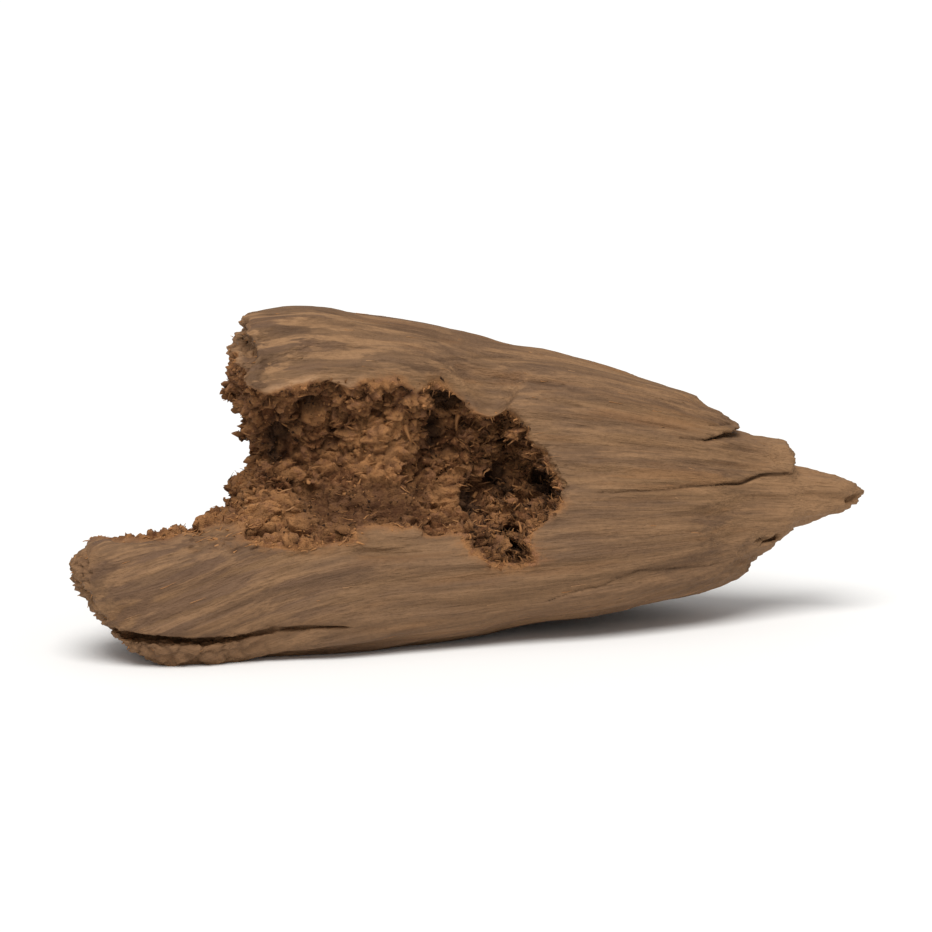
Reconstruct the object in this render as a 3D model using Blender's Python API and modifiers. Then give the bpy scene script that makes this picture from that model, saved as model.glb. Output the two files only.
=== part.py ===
"""One loose piece of agarwood: a leaning, wedge-shaped chunk of old wood, 72 mm long, lying on its worn base.

The wood's grain runs along X. The blunt end is at -X and the splintered tip at +X. The broad face that
slopes up and back looks towards -Y, and a rotted hollow is open in it and through the blunt end.
The origin is the middle of the piece's bounding box, at the height of the base.
"""

import math
from collections import namedtuple

import bmesh
import bpy
import numpy as np
from mathutils import Matrix, Vector, noise

MM = 0.001

# Driving dimensions. While it is modelled, X starts at the foot's blunt end and Z at the base.
PIECE_HEIGHT = 29
RING_POINTS = 16
ROUNDING_LOSS = 1.025  # Subdivision Surface draws a ring of 16 points in by this much
LOWER_SQUARENESS = 3.2  # superellipse power of the lower half of every section
VOXEL = 0.5 * MM
FINE_VOXEL = 0.35 * MM
MOST_TRIANGLES = 8200

# Relief of the sound wood, in millimetres: broad lumps, and ridges that run along the grain
LUMP_SIZE = 9.0
LUMP_HEIGHT = 0.45
RIDGE_LENGTH = 18.0
RIDGE_WIDTH = 2.4
RIDGE_HEIGHT = 0.4

# Relief of rotted and torn wood, in millimetres
CRUMB_SIZE = 2.2
CRUMB_HEIGHT = 1.3
BUNDLE_SIZE = 1.7  # fibres break off in bundles this thick
BREAK_LENGTH = 1.1  # and at lengths that differ by this much
ROT_REACH = 1.12  # crumbling stops this far from a lump's centre, as a share of its radius
ROT_FADE = 0.10  # and dies away over this share

WOOD_COLOUR = (0.235, 0.135, 0.073, 1)
WOOD_ROUGHNESS = 0.8

# One cross-section of a stick of wood, in millimetres: it is widest, from front to back, at the height `waist`,
# and towards `high` it narrows to the share `crown` of that width and shifts by `lean`. Its upper half is a
# superellipse of the power `square`: 2 is round, and more is squarer.
Section = namedtuple("Section", "x low waist high front back crown lean square")
BLOCK = [
    Section(0.0, 6.6, 7.4, 8.8, -10.6, -8.0, 0.85, 0.2, 4.0),
    Section(0.7, 5.6, 7.0, 9.6, -11.8, -6.6, 0.85, 0.3, 5.0),
    Section(2.2, 3.5, 6.4, 10.4, -12.9, -4.6, 0.83, 0.4, 6.0),
    Section(4.6, 1.3, 5.6, 10.7, -13.6, -2.4, 0.82, 0.5, 6.0),
    Section(7.0, -0.3, 5.0, 10.8, -13.9, 0.0, 0.81, 0.5, 6.0),
    Section(10.0, -0.9, 5.0, 10.8, -13.9, 2.0, 0.80, 0.5, 6.0),
    Section(14.0, -0.9, 5.0, 11.2, -13.8, 5.0, 0.80, 0.6, 6.0),
    Section(15.2, -0.9, 5.0, 11.8, -13.7, 8.5, 0.80, 0.6, 6.0),
    Section(16.1, -0.9, 5.0, 28.0, -13.7, 12.0, 0.52, 1.8, 2.6),
    Section(16.4, -0.9, 5.1, 28.0, -13.6, 12.2, 0.50, 1.8, 2.6),
    Section(18.0, -0.9, 5.2, 28.0, -13.4, 12.8, 0.46, 2.0, 2.6),
    Section(20.5, -0.9, 5.4, 28.4, -13.2, 13.2, 0.43, 2.2, 2.6),
    Section(23.5, -0.8, 5.7, 28.2, -13.0, 13.4, 0.42, 2.2, 2.6),
    Section(28.0, -0.5, 6.2, 27.4, -12.2, 13.3, 0.42, 2.2, 2.6),
    Section(33.0, 0.1, 6.6, 26.4, -11.3, 12.9, 0.44, 2.2, 2.6),
    Section(38.5, 0.6, 7.0, 25.1, -10.5, 12.2, 0.46, 2.0, 2.6),
    Section(44.0, 1.0, 7.4, 23.8, -9.8, 11.0, 0.48, 1.6, 2.6),
    Section(48.5, 1.5, 8.0, 22.4, -8.8, 9.6, 0.50, 1.3, 2.6),
    Section(51.0, 1.8, 8.4, 21.4, -8.1, 8.6, 0.50, 1.1, 2.6),
    Section(54.0, 1.9, 8.6, 20.6, -7.2, 7.2, 0.52, 0.9, 2.6),
    Section(57.0, 2.3, 9.0, 19.7, -6.1, 5.8, 0.55, 0.8, 2.6),
    Section(60.0, 3.4, 9.4, 17.8, -4.8, 4.2, 0.60, 0.5, 2.6),
    Section(62.4, 6.0, 10.0, 15.9, -3.8, 2.8, 0.70, 0.3, 2.6),
    Section(63.4, 7.2, 10.4, 15.7, -3.4, 2.4, 0.78, 0.2, 3.4),
    Section(64.2, 7.8, 10.5, 15.8, -3.2, 2.1, 0.85, 0.1, 5.0),
    Section(64.5, 8.0, 10.6, 15.8, -3.1, 2.0, 0.85, 0.1, 5.0),
    Section(64.6, 8.0, 10.6, 12.9, -3.0, 1.9, 0.85, 0.1, 3.4),
    Section(66.2, 8.5, 10.7, 12.9, -2.4, 1.5, 0.85, 0.1, 3.0),
    Section(68.2, 9.2, 10.8, 12.5, -2.1, 1.1, 0.85, 0.0, 3.0),
    Section(69.8, 9.6, 10.8, 12.2, -1.8, 0.8, 0.85, 0.0, 3.0),
    Section(70.9, 10.0, 10.8, 11.9, -1.5, 0.4, 0.85, 0.0, 2.6),
    Section(71.4, 10.4, 10.8, 11.5, -1.1, 0.0, 0.85, 0.0, 2.6),
]
BACK_RIB = [
    Section(16.0, 1.8, 4.8, 8.0, 8.0, 12.6, 0.8, 0.0, 2.6),
    Section(20.0, -0.9, 4.4, 9.6, 7.0, 14.3, 0.8, -0.4, 2.6),
    Section(32.0, -0.9, 4.0, 9.0, 7.0, 14.5, 0.8, -0.4, 2.6),
    Section(44.0, -0.9, 3.4, 7.8, 5.0, 12.6, 0.8, -0.3, 2.6),
    Section(52.0, 1.4, 4.0, 6.6, 3.0, 8.4, 0.8, 0.0, 2.6),
]

# Cracks are thin blades taken out of the wood. Each cut gives its place, its gap, and how far back it reaches.
Cut = namedtuple("Cut", "x z gap back")
CRACKS = {
    "foot_crack": [
        Cut(-0.5, 3.4, 1.3, -8.6),
        Cut(4.0, 3.0, 0.9, -10.0),
        Cut(8.5, 2.4, 0.7, -11.2),
        Cut(12.0, 2.2, 0.7, -11.4),
        Cut(15.0, 2.6, 0.6, -11.6),
        Cut(18.0, 3.1, 0.6, -11.2),
        Cut(23.0, 3.1, 0.5, -11.2),
        Cut(28.0, 2.6, 0.3, -11.6),
    ],
    "shoulder_slit": [
        Cut(54.4, 16.4, 0.4, -3.6),
        Cut(57.0, 16.7, 0.8, -1.6),
        Cut(59.4, 16.9, 0.9, 1.0),
        Cut(61.4, 16.7, 1.1, 6.0),
        Cut(63.4, 16.4, 1.1, 6.0),
    ],
    "tip_crack": [
        Cut(47.0, 13.3, 0.3, -6.8),
        Cut(55.5, 13.1, 0.4, -4.6),
        Cut(60.0, 13.0, 0.4, -2.8),
        Cut(63.0, 13.4, 0.5, -1.2),
        Cut(66.6, 13.3, 0.5, 0.2),
    ],
    "heel_nick": [
        Cut(60.4, 6.9, 0.4, -2.6),
        Cut(62.4, 7.5, 0.6, -2.0),
        Cut(64.4, 8.3, 1.0, -1.0),
    ],
}
IN_FRONT = -18.0  # the blades start this far out, in front of the wood

# Rot ate the hollow and the scoops in the back in round lumps that run together, in millimetres.
Lump = namedtuple("Lump", "x y z rx ry rz")
HOLLOW = [
    Lump(13.4, -7.8, 17.6, 6.0, 8.6, 6.2),
    Lump(21.0, -8.0, 17.9, 8.0, 7.2, 6.6),
    Lump(28.0, -8.0, 18.6, 7.5, 6.2, 6.0),
    Lump(33.6, -7.6, 17.4, 5.6, 8.4, 6.0),
    Lump(39.2, -7.6, 15.4, 5.0, 9.4, 5.4),
    Lump(39.4, -9.6, 10.2, 2.5, 4.0, 2.5),
    Lump(19.5, -11.4, 11.8, 5.5, 3.2, 2.0),
    Lump(6.6, 6.0, 14.6, 11.3, 20.0, 6.3),
    Lump(12.6, 0.0, 17.2, 4.4, 12.0, 7.0),
    Lump(12.8, 10.0, 16.6, 4.6, 9.0, 7.4),
]
BACK_SCOOPS = [
    Lump(30.0, 14.6, 19.0, 11.0, 4.6, 5.5),
    Lump(40.0, 13.4, 15.0, 8.0, 4.0, 4.0),
    Lump(18.0, 14.8, 14.0, 4.5, 4.0, 3.5),
]


def clear_scene():
    for thing in list(bpy.data.objects):
        bpy.data.objects.remove(thing)


def new_collection(name):
    collection = bpy.data.collections.new(name)
    bpy.context.scene.collection.children.link(collection)
    return collection


def new_object(name, bm, collection):
    mesh = bpy.data.meshes.new(name)
    bm.to_mesh(mesh)
    bm.free()
    made = bpy.data.objects.new(name, mesh)
    collection.objects.link(made)
    return made


def signed_power(value, power):
    return math.copysign(abs(value) ** power, value)


def section_point(section, turn):
    """The point of a section at the angle `turn`, seen along the grain."""
    upper = math.sin(turn) > 0
    power = 2 / (section.square if upper else LOWER_SQUARENESS)
    across = signed_power(math.cos(turn), power) * ROUNDING_LOSS
    up = signed_power(math.sin(turn), power) * ROUNDING_LOSS
    reach = section.high - section.waist if upper else section.waist - section.low
    rise = max(up, 0)
    half_width = (section.back - section.front) / 2 * (1 - (1 - section.crown) * rise)
    y = (section.front + section.back) / 2 + half_width * across + section.lean * rise
    return Vector((section.x, y, section.waist + reach * up)) * MM


def blade_section(cut):
    return Section(cut.x, cut.z - cut.gap / 2, cut.z, cut.z + cut.gap / 2, IN_FRONT, cut.back, 1, 0, 2.6)


def loft(name, sections, collection, ring_points=RING_POINTS, levels=2):
    """A closed stick through the sections, rounded by Subdivision Surface."""
    bm = bmesh.new()
    turns = [2 * math.pi * (step + 0.5) / ring_points for step in range(ring_points)]
    rings = [[bm.verts.new(section_point(section, turn)) for turn in turns] for section in sections]
    for ring, following in zip(rings, rings[1:]):
        for step in range(ring_points):
            after = (step + 1) % ring_points
            bm.faces.new((ring[step], ring[after], following[after], following[step]))
    bm.faces.new(reversed(rings[0]))
    bm.faces.new(rings[-1])
    bmesh.ops.recalc_face_normals(bm, faces=bm.faces)
    stick = new_object(name, bm, collection)
    rounding = stick.modifiers.new("rounding", "SUBSURF")
    rounding.levels = rounding.render_levels = levels
    return stick


def fuse_into_one_skin(thing, voxel=VOXEL):
    fuse = thing.modifiers.new("fuse", "REMESH")
    fuse.mode = "VOXEL"
    fuse.voxel_size = voxel


def eaten_lumps(name, lumps, collection):
    """The space that rot has eaten: balls pulled to each lump's radii, fused and smoothed into one."""
    bm = bmesh.new()
    for lump in lumps:
        centre = Vector((lump.x, lump.y, lump.z)) * MM
        radii = Vector((lump.rx, lump.ry, lump.rz)) * MM
        bmesh.ops.create_icosphere(bm, subdivisions=4, radius=1, matrix=Matrix.LocRotScale(centre, None, radii))
    eaten = new_object(name, bm, collection)
    fuse_into_one_skin(eaten)
    smooth = eaten.modifiers.new("smooth", "SMOOTH")
    smooth.iterations = 12
    return eaten


def ground(collection):
    """A slab whose top is the surface that the piece has worn its base flat on."""
    bm = bmesh.new()
    thickness = 20
    centre = Vector((0, 0, -thickness / 2)) * MM
    size = Vector((200, 100, thickness)) * MM
    bmesh.ops.create_cube(bm, size=1, matrix=Matrix.LocRotScale(centre, None, size))
    return new_object("ground", bm, collection)


def join_or_cut(body, other, operation):
    boolean = body.modifiers.new(other.name, "BOOLEAN")
    boolean.operation = operation
    boolean.object = other
    other.hide_render = True
    other.display_type = "WIRE"


def evaluated_bmesh(thing):
    graph = bpy.context.evaluated_depsgraph_get()
    mesh = bpy.data.meshes.new_from_object(thing.evaluated_get(graph))
    bm = bmesh.new()
    bm.from_mesh(mesh)
    bpy.data.meshes.remove(mesh)
    return bm


def clamp(value):
    return min(max(value, 0), 1)


def grain_point(point):
    """A point in millimetres, moved so that the wood's fibres, which draw together towards the tip, run straight."""
    stations = (0, 15, 22, 45, 60, 72)
    low = np.interp(point.x, stations, (-4, -1, 0, 2, 4.5, 6))
    high = np.interp(point.x, stations, (24, 27, 29, 25, 20, 16))
    share = (point.z - low) / (high - low)
    return Vector((point.x, point.y * PIECE_HEIGHT / (high - low), share * PIECE_HEIGHT))


def rot_at(point):
    """1 in the hollow, 0 on sound wood."""
    nearest = min(
        Vector(((point.x - lump.x) / lump.rx, (point.y - lump.y) / lump.ry, (point.z - lump.z) / lump.rz)).length
        for lump in HOLLOW
    )
    return clamp((ROT_REACH - nearest) / ROT_FADE)


def weathering_at(point, normal):
    """How far the weathered surface moves at a point, in millimetres."""
    grain = grain_point(point)
    lumps = LUMP_HEIGHT * noise.noise(point / LUMP_SIZE)
    streak = Vector((grain.x / RIDGE_LENGTH, grain.y / RIDGE_WIDTH, grain.z / RIDGE_WIDTH))
    ridges = RIDGE_HEIGHT * (1 - 3 * abs(noise.noise(streak)))
    crumbs = CRUMB_HEIGHT * noise.fractal(point / CRUMB_SIZE, 0.8, 2.1, 3)
    bundle = Vector((grain.x / RIDGE_LENGTH, grain.y / BUNDLE_SIZE, grain.z / BUNDLE_SIZE))
    broken_ends = BREAK_LENGTH * noise.fractal(bundle, 0.8, 2.0, 2) * normal.x ** 2
    rot = rot_at(point)
    outward = lumps + (1 - rot) * ridges + rot * crumbs
    return normal * outward + Vector((broken_ends, 0, 0))


def weather(bm):
    bm.normal_update()
    moves = [weathering_at(vert.co / MM, vert.normal) * MM for vert in bm.verts]
    for vert, move in zip(bm.verts, moves):
        vert.co += move


def centre_over_origin(bm):
    lows = [min(vert.co[axis] for vert in bm.verts) for axis in range(2)]
    highs = [max(vert.co[axis] for vert in bm.verts) for axis in range(2)]
    middle = Vector(((lows[0] + highs[0]) / 2, (lows[1] + highs[1]) / 2, 0))
    bmesh.ops.translate(bm, verts=bm.verts, vec=-middle)


def wood_material():
    material = bpy.data.materials.new("aged_wood")
    material.use_nodes = True
    shader = material.node_tree.nodes["Principled BSDF"]
    shader.inputs["Base Color"].default_value = WOOD_COLOUR
    shader.inputs["Roughness"].default_value = WOOD_ROUGHNESS
    shader.inputs["Metallic"].default_value = 0
    return material


def main():
    clear_scene()
    wood = new_collection("agarwood")
    helpers = new_collection("helpers")

    # the block as it split from the tree, with what rot ate taken out
    block = loft("block", BLOCK, helpers)
    join_or_cut(block, loft("back_rib", BACK_RIB, helpers), "UNION")
    join_or_cut(block, eaten_lumps("hollow", HOLLOW, helpers), "DIFFERENCE")
    join_or_cut(block, eaten_lumps("back_scoops", BACK_SCOOPS, helpers), "DIFFERENCE")
    fuse_into_one_skin(block, FINE_VOXEL)
    block.hide_render = True

    # its surface weathers, then it cracks, and its base wears flat
    bm = evaluated_bmesh(block)
    weather(bm)
    weathered = new_object("weathered_block", bm, helpers)
    fuse_into_one_skin(weathered, FINE_VOXEL)
    thin = weathered.modifiers.new("fewer_faces", "DECIMATE")
    thin.ratio = MOST_TRIANGLES / (2 * len(weathered.data.polygons))
    for name, cuts in CRACKS.items():
        blade = loft(name, [blade_section(cut) for cut in cuts], helpers, ring_points=8, levels=1)
        join_or_cut(weathered, blade, "DIFFERENCE")
    join_or_cut(weathered, ground(helpers), "DIFFERENCE")
    weathered.hide_render = True

    finished = evaluated_bmesh(weathered)
    centre_over_origin(finished)
    agarwood = new_object("agarwood_piece", finished, wood)
    agarwood.data.materials.clear()
    agarwood.data.materials.append(wood_material())
    agarwood.data.shade_smooth()
    agarwood.data.set_sharp_from_angle(angle=math.radians(40))


main()
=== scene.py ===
# %% [markdown]
# A piece of agarwood
#
# This lesson dresses one loose chunk of old agarwood. The frame gives its solid: the size, the leaning wedge
# shape, the rotted hollow and the cracks. Here it gets what only shows from close by: the grain, the crumbs
# of rot, the torn fibres, the splinters and the colours.

# %% Open the frame
import math

import bmesh
import bpy
import numpy as np
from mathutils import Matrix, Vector, noise


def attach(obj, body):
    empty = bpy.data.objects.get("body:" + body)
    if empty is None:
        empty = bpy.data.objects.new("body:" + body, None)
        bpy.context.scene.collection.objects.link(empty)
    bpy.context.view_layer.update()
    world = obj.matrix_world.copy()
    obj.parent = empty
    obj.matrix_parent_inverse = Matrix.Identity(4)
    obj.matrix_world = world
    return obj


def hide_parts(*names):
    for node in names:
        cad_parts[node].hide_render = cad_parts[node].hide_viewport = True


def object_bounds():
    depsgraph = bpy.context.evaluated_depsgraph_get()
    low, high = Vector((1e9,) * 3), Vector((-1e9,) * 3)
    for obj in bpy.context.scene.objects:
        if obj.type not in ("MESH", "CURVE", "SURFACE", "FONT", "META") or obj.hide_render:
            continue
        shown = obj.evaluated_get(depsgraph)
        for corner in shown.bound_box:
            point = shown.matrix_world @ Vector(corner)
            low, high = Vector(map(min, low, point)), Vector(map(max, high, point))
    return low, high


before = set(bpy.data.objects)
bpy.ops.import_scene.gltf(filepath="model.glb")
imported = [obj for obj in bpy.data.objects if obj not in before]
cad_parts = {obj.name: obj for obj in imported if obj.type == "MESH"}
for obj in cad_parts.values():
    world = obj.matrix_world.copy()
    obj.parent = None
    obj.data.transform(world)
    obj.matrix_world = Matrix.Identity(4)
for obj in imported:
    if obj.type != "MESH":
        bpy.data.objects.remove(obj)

MM = 0.001
cad_low, cad_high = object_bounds()
solid_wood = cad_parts["agarwood_piece"]
print("the solid is", [round(side / MM, 1) for side in cad_high - cad_low], "mm")

# %% [markdown]
# The camera comes first, because it decides how fine the detail has to be. The piece was photographed from a
# little above and a little to its left, with a long lens that hardly shows perspective.
# %% Place the camera
VIEW_AZIMUTH = math.radians(-8)
VIEW_ELEVATION = math.radians(12)
LENS_MM = 220
SENSOR_MM = 36
SHARE_OF_FRAME = 0.87  # how much of the picture's width the piece fills
PICTURE_PIXELS = 932


def towards_camera(azimuth, elevation):
    flat = math.cos(elevation)
    return Vector((math.sin(azimuth) * flat, -math.cos(azimuth) * flat, math.sin(elevation)))


middle = (cad_low + cad_high) / 2
view_width = (cad_high.x - cad_low.x) / SHARE_OF_FRAME
distance = view_width * LENS_MM / SENSOR_MM
back = towards_camera(VIEW_AZIMUTH, VIEW_ELEVATION)
camera_data = bpy.data.cameras.new("camera")
camera_data.lens = LENS_MM
camera_data.sensor_width = SENSOR_MM
camera_data.clip_start = distance / 100
camera_data.clip_end = 20
camera = bpy.data.objects.new("camera", camera_data)
camera.location = middle + back * distance
camera.rotation_mode = "QUATERNION"
camera.rotation_quaternion = (-back).to_track_quat("-Z", "Y")
bpy.context.scene.collection.objects.link(camera)
bpy.context.scene.camera = camera
print("camera at", round(distance, 3), "m, one pixel is", round(view_width / MM / PICTURE_PIXELS, 3), "mm")

# %% [markdown]
# Photographs for a shop are lit softly from all round, so that nothing hides in the dark. A bright sky gives
# the light from all sides, and one wide lamp high above the camera's left shoulder gives the shapes a light
# and a dark side.
# %% Light the studio
SKY_BRIGHTNESS = 0.46
SUN_BRIGHTNESS = 2.8
SUN_ANGLE = math.radians(40)
SUN_AZIMUTH = math.radians(-14)
SUN_ELEVATION = math.radians(64)

scene = bpy.context.scene
scene.view_settings.view_transform = "Standard"
sky = bpy.data.worlds.new("studio")
sky.use_nodes = True
sky.node_tree.nodes["Background"].inputs["Color"].default_value = (1, 0.995, 0.99, 1)
sky.node_tree.nodes["Background"].inputs["Strength"].default_value = SKY_BRIGHTNESS
scene.world = sky

sun_data = bpy.data.lights.new("wide_lamp", "SUN")
sun_data.energy = SUN_BRIGHTNESS
sun_data.angle = SUN_ANGLE
sun_data.color = (1, 0.985, 0.96)
sun = bpy.data.objects.new("wide_lamp", sun_data)
sun.rotation_mode = "QUATERNION"
sun.rotation_quaternion = (-towards_camera(SUN_AZIMUTH, SUN_ELEVATION)).to_track_quat("-Z", "Y")
scene.collection.objects.link(sun)

# %% [markdown]
# Every material here is a little network of nodes. Written out link by link, such a network is hard to read,
# so the class below wraps one output of a node. Adding or multiplying two of them adds the Math node that
# does it, and the method `node` makes any other kind of node from its type, its settings and its inputs.

# %% Write shader maths as Python
class Wire:
    """One output of a node, which can be used in sums as if it were a number."""

    def __init__(self, tree, socket):
        self.tree = tree
        self.socket = socket

    def node(self, kind, settings=None, inputs=None, output=0):
        made = self.tree.nodes.new(kind)
        for name, value in (settings or {}).items():
            setattr(made, name, value)
        for name, value in (inputs or {}).items():
            if isinstance(value, Wire):
                self.tree.links.new(value.socket, made.inputs[name])
            else:
                made.inputs[name].default_value = value
        return Wire(self.tree, made.outputs[output])

    def maths(self, operation, *values):
        return self.node("ShaderNodeMath", {"operation": operation}, dict(enumerate(values)))

    def __add__(self, other):
        return self.maths("ADD", self, other)

    def __radd__(self, other):
        return self.maths("ADD", other, self)

    def __sub__(self, other):
        return self.maths("SUBTRACT", self, other)

    def __rsub__(self, other):
        return self.maths("SUBTRACT", other, self)

    def __mul__(self, other):
        return self.maths("MULTIPLY", self, other)

    def __rmul__(self, other):
        return self.maths("MULTIPLY", other, self)

    def between(self, low, high):
        """0 below low, 1 above high, and a smooth rise from one to the other."""
        settings = {"interpolation_type": "SMOOTHSTEP"}
        return self.node("ShaderNodeMapRange", settings, {"Value": self, "From Min": low, "From Max": high})

    def mixed(self, one, other):
        """Colour `one` where this is 0 and colour `other` where it is 1."""
        inputs = {"Factor": self, 6: as_colour(one), 7: as_colour(other)}
        return self.node("ShaderNodeMix", {"data_type": "RGBA"}, inputs, output=2)

    def part(self, axis):
        """One of a vector's three numbers."""
        return self.node("ShaderNodeSeparateXYZ", None, {0: self}, axis)

    def stretched(self, x, y, z):
        settings = {"operation": "MULTIPLY"}
        return self.node("ShaderNodeVectorMath", settings, {0: self, 1: (x, y, z)})

    def cloud(self, detail=2.0, roughness=0.5, distortion=0.0):
        """Soft noise, 0 to 1, read at this place."""
        inputs = {"Vector": self, "Scale": 1.0, "Detail": detail}
        inputs.update({"Roughness": roughness, "Distortion": distortion})
        return self.node("ShaderNodeTexNoise", None, inputs)


def as_colour(value):
    return value if isinstance(value, Wire) else (*value, 1)


def new_material(name):
    """A material with only a Principled BSDF in it, as (material, shader node, a Wire to start from)."""
    material = bpy.data.materials.new(name)
    material.use_nodes = True
    tree = material.node_tree
    shader = tree.nodes["Principled BSDF"]
    return material, shader, Wire(tree, shader.outputs[0])


def attribute(start, name, output="Fac"):
    return start.node("ShaderNodeAttribute", {"attribute_name": name}, None, output)


def object_place(start):
    """The place on the object in millimetres."""
    return start.node("ShaderNodeTexCoord", None, None, "Object").stretched(1 / MM, 1 / MM, 1 / MM)


def plug(wire, shader, socket):
    wire.tree.links.new(wire.socket, shader.inputs[socket])


# %% [markdown]
# The piece stands on a plain floor, pale and wide enough to fill the picture.
# %% Lay the floor
FLOOR_HALF_WIDTH = 3.0

bm = bmesh.new()
bmesh.ops.create_grid(bm, x_segments=2, y_segments=2, size=FLOOR_HALF_WIDTH)
floor_mesh = bpy.data.meshes.new("floor")
bm.to_mesh(floor_mesh)
bm.free()
floor = bpy.data.objects.new("floor", floor_mesh)
scene.collection.objects.link(floor)
paper, paper_shader, _ = new_material("pale_paper")
paper_shader.inputs["Base Color"].default_value = (0.87, 0.87, 0.868, 1)
paper_shader.inputs["Roughness"].default_value = 0.9
floor_mesh.materials.append(paper)

# %% [markdown]
# Wood is a bundle of fibres, and nearly all that shows on it follows them: ridges, cracks, streaks of colour
# and the way it splinters. On this piece the fibres run lengthwise, spread apart at the blunt end and draw
# together at the tip. So the detail is worked out in grain space, where the fibres are straight: the first
# coordinate runs along them, and the others across. Noise that is long in the first and short in the others
# is grain.

# %% Straighten the grain
BLUNT_END = cad_low.x / MM
PIECE_HEIGHT = 29.0
STATIONS = (0, 15, 22, 45, 60, 72)  # distances from the blunt end, in millimetres
LOW_FIBRE = (-9.0, -3.0, 0.0, 2.0, 4.5, 6.0)  # how high one fibre lies there
HIGH_FIBRE = (24.0, 27.0, 29.0, 25.0, 20.0, 16.0)  # and another, near the crest
BEND_OFFSETS = (-6, -4, -2, 0, 2, 4, 6)
SLOPE_STEP = 2
OCTAVE_SHARE = 0.7  # how much weaker each finer layer of noise is
OCTAVE_STEP = 2.1  # and how much finer


def fibre_height(along, heights):
    """How high a fibre lies at each distance, averaged over a stretch so that it bends without a kink."""
    return sum(np.interp(along + offset, STATIONS, heights) for offset in BEND_OFFSETS) / len(BEND_OFFSETS)


def grain_of(points):
    """Places in grain space for an array of places in millimetres."""
    along = points[:, 0] - BLUNT_END
    low = fibre_height(along, LOW_FIBRE)
    spread = (fibre_height(along, HIGH_FIBRE) - low) / PIECE_HEIGHT
    return np.stack([along, points[:, 1] / spread, (points[:, 2] - low) / spread], axis=1)


def grain_direction(points):
    """The direction of the fibres towards the tip, at each of an array of places."""
    along = points[:, 0] - BLUNT_END
    slopes = []
    for heights in (LOW_FIBRE, HIGH_FIBRE):
        slopes.append(fibre_height(along + SLOPE_STEP, heights) - fibre_height(along - SLOPE_STEP, heights))
    share = np.clip(points[:, 2] / PIECE_HEIGHT, 0, 1)
    rise = (slopes[0] * (1 - share) + slopes[1] * share) / (2 * SLOPE_STEP)
    return unit(np.stack([np.ones_like(rise), np.zeros_like(rise), rise], axis=1))


def unit(vectors):
    return vectors / np.maximum(np.linalg.norm(vectors, axis=1, keepdims=True), 1e-9)


def noise_at(points, length, width, shift=0.0, octaves=1):
    """Noise from -1 to 1 that changes over `length` along the first axis and `width` along the others."""
    scaled = points / (length, width, width) + shift
    if octaves == 1:
        return np.array([noise.noise(place) for place in scaled.tolist()])
    return np.array([noise.fractal(place, OCTAVE_SHARE, OCTAVE_STEP, octaves) for place in scaled.tolist()])


def smooth_step(value, low, high):
    share = np.clip((value - low) / (high - low), 0, 1)
    return share * share * (3 - 2 * share)


# %% [markdown]
# Rot has eaten the hollow in round lumps that run together, and the broken end above the foot too. The
# frame's solid was made the same way. These are the same lumps, and a point's rot is read from how near it
# is to the nearest of them.
# %% Say where the wood has rotted
# Each row is a lump's centre, from the blunt end and the middle and the floor, and its three radii.
EATEN = np.array(
    [
        (13.8, -7.9, 17.6, 6.0, 8.6, 6.2),
        (21.4, -8.1, 17.9, 8.0, 7.2, 6.6),
        (28.4, -8.1, 18.6, 7.5, 6.2, 6.0),
        (34.0, -7.7, 17.4, 5.6, 8.4, 6.0),
        (39.6, -7.7, 15.4, 5.0, 9.4, 5.4),
        (39.8, -9.7, 10.2, 2.5, 4.0, 2.5),
        (19.9, -11.5, 11.8, 5.5, 3.2, 2.0),
        (7.0, 5.9, 14.6, 11.3, 20.0, 6.3),
        (13.0, -0.1, 17.2, 4.4, 12.0, 7.0),
        (13.2, 9.9, 16.6, 4.6, 9.0, 7.4),
    ]
)
TOWARDS_VIEWER = np.array((-0.4, -0.9, 0.2))  # where the side with the hollow faces, and a little to the left
EDGE_NOISE = 0.03
ROT_EDGE = (0.965, 1.03)  # the nearness between which rot turns into sound wood
SUNKEN_DEPTHS = (0.4, 0.9)  # wood that lies this far behind the face counts as rot too
SUNKEN_REACH = (1.22, 1.3)  # as far as this nearness
SUNKEN_FROM = (14, 16)  # and from this far along
SHEET_SPAN = (40, 20)  # how far the face reaches, along and up
SHEET_POWERS = 4
SHEET_ROUNDS = 3


def nearness_to_rot(points):
    """How far points are from the nearest lump, as a share of its radius: under 1 is inside it."""
    places = points - (BLUNT_END, 0, 0)
    offsets = (places[:, None, :] - EATEN[None, :, :3]) / EATEN[None, :, 3:]
    ragged = EDGE_NOISE * noise_at(points, 1.3, 1.3)
    return np.linalg.norm(offsets, axis=2).min(axis=1) + ragged


def depth_in_hollow(points, normals, near):
    """How far each point lies behind the face that the hollow was eaten into, in millimetres.

    The face is a smooth sheet through the sound points about the hollow. Points that turn out to lie off it
    are left out, and the sheet is laid again.
    """
    along = (points[:, 0] - BLUNT_END) / SHEET_SPAN[0]
    up = points[:, 2] / SHEET_SPAN[1]
    powers = [(i, j) for i in range(SHEET_POWERS) for j in range(SHEET_POWERS - i)]
    terms = np.stack([along ** i * up ** j for i, j in powers], axis=1)
    sound = (near > 1.1) & (near < 2.2) & (normals @ TOWARDS_VIEWER > 0.6) & (points[:, 2] > 5)
    for _ in range(SHEET_ROUNDS):
        weights = np.linalg.lstsq(terms[sound], points[sound, 1], rcond=None)[0]
        depth = points[:, 1] - terms @ weights
        sound &= np.abs(depth) < 1
    print("the face is within", round(float(depth[sound].std()), 2), "mm of its sheet")
    return depth


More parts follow.
